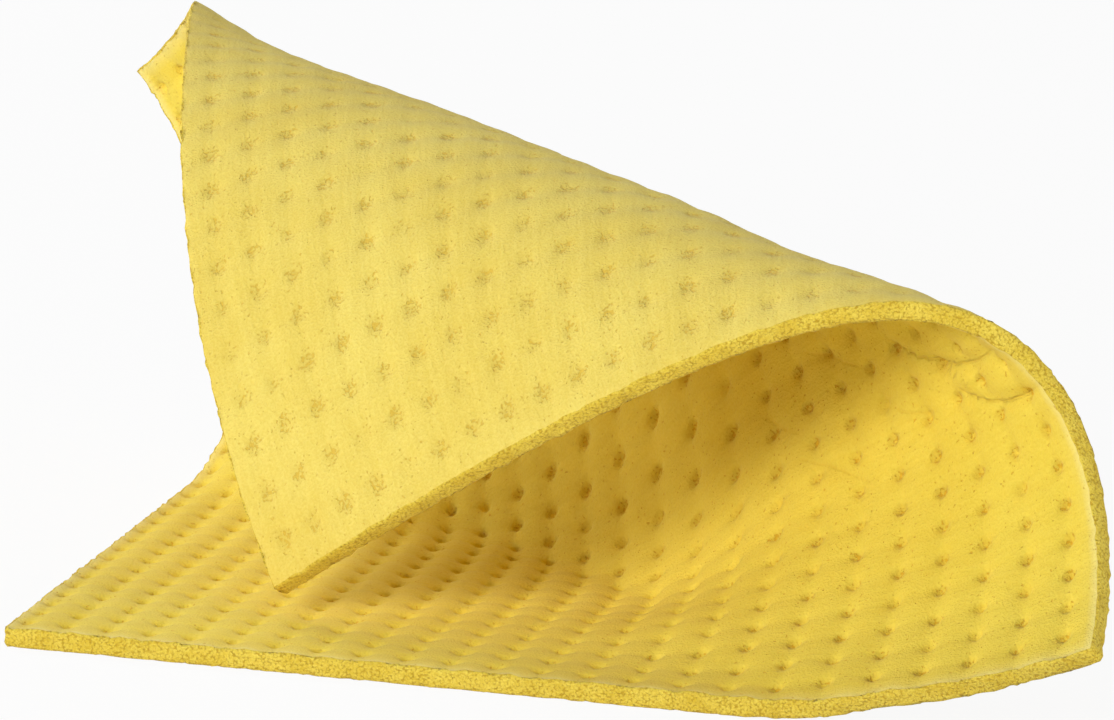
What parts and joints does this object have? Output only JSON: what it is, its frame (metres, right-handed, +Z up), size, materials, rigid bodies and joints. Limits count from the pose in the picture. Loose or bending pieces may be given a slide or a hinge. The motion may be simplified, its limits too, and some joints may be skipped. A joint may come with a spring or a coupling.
{
  "type": "sponge cloth",
  "caption": "Square embossed cellulose sponge cloth, lying on one corner and bent over on itself into a loose cone, for wiping and drying surfaces.",
  "frame": {"origin": "middle of the bounding box seen from above, at the level of the table that the cloth lies on", "axes": "+X along the straight front edge, from the corner that lies flat to the corner that lifts; +Y away from that edge, into the curl; +Z up"},
  "size_m": [0.2288, 0.1786, 0.0883],
  "materials": {
    "cellulose_sponge": "matt open-pored yellow cellulose sponge, embossed with rows of small pits"
  },
  "bodies": {
    "root": {"sponge_cloth": "cellulose_sponge"}
  },
  "joints": []
}
